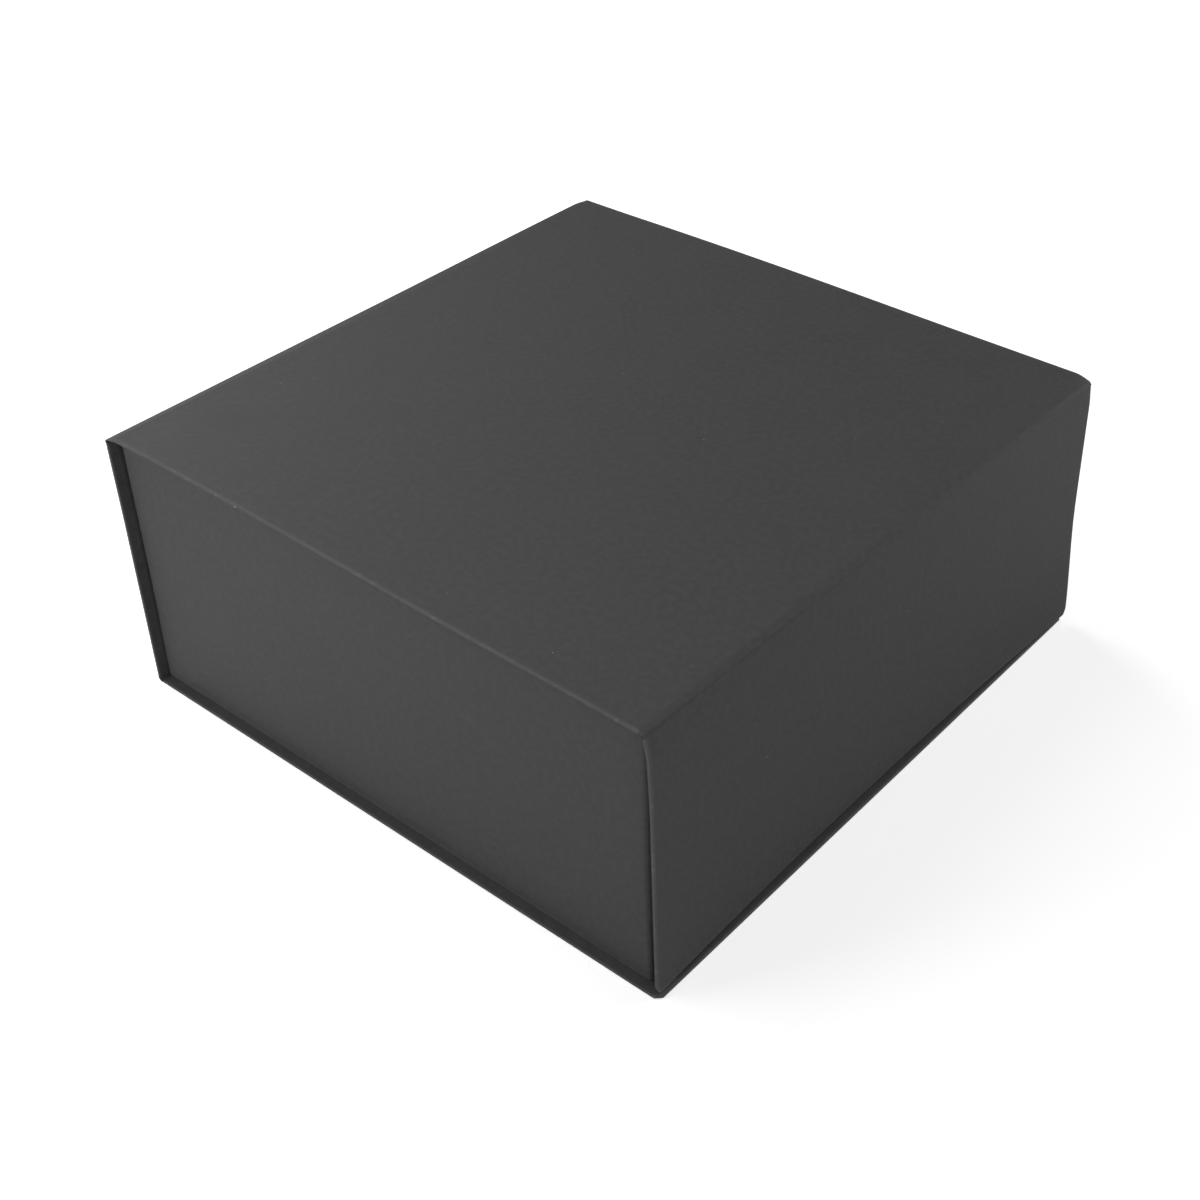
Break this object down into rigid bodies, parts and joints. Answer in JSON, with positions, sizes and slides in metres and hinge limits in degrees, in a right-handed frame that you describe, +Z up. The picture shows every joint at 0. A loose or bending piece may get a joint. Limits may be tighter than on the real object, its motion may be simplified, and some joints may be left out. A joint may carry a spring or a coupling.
{
  "type": "magnetic closure presentation box",
  "caption": "Book-style rigid gift box wrapped in matt charcoal paper, with a hinged lid and a magnetic front flap over a glued tray.",
  "frame": {"origin": "middle of the underside of the closed box", "axes": "+Z up out of the lid, -Y towards the flap, +Y towards the spine, X along the two fold lines"},
  "size_m": [0.236, 0.233, 0.102],
  "materials": {
    "cover_paper": "matte",
    "lining_paper": "matte",
    "greyboard": "matte",
    "stay_tape": "matte",
    "keeper_steel": "satin",
    "magnet_nickel": "satin"
  },
  "bodies": {
    "tray": {"base_board": "greyboard", "spine_board": "greyboard", "base_wrap": "cover_paper", "spine_wrap": "cover_paper", "spine_lining": "lining_paper", "tray_floor": "greyboard", "front_wall": "greyboard", "back_wall": "greyboard", "left_wall": "greyboard", "right_wall": "greyboard", "corner_stays": "stay_tape", "tray_wrap": "cover_paper", "floor_lining": "lining_paper", "keeper_discs": "keeper_steel"},
    "lid": {"lid_board": "greyboard", "lid_wrap": "cover_paper", "lid_lining": "lining_paper", "back_fold_wrap": "cover_paper", "back_fold_lining": "lining_paper", "front_fold_wrap": "cover_paper", "front_fold_lining": "lining_paper"},
    "flap": {"flap_board": "greyboard", "flap_wrap": "cover_paper", "flap_lining": "lining_paper", "flap_magnets": "magnet_nickel"}
  },
  "joints": [
    {"name": "lid_hinge", "type": "hinge", "parent": "tray", "child": "lid", "pos_m": [0, 0.1165, 0.1014], "axis": [-1, 0, 0], "range_deg": [0, 178]},
    {"name": "flap_hinge", "type": "hinge", "parent": "lid", "child": "flap", "pos_m": [0, -0.1135, 0.1014], "axis": [-1, 0, 0], "range_deg": [-0.8, 110]}
  ]
}
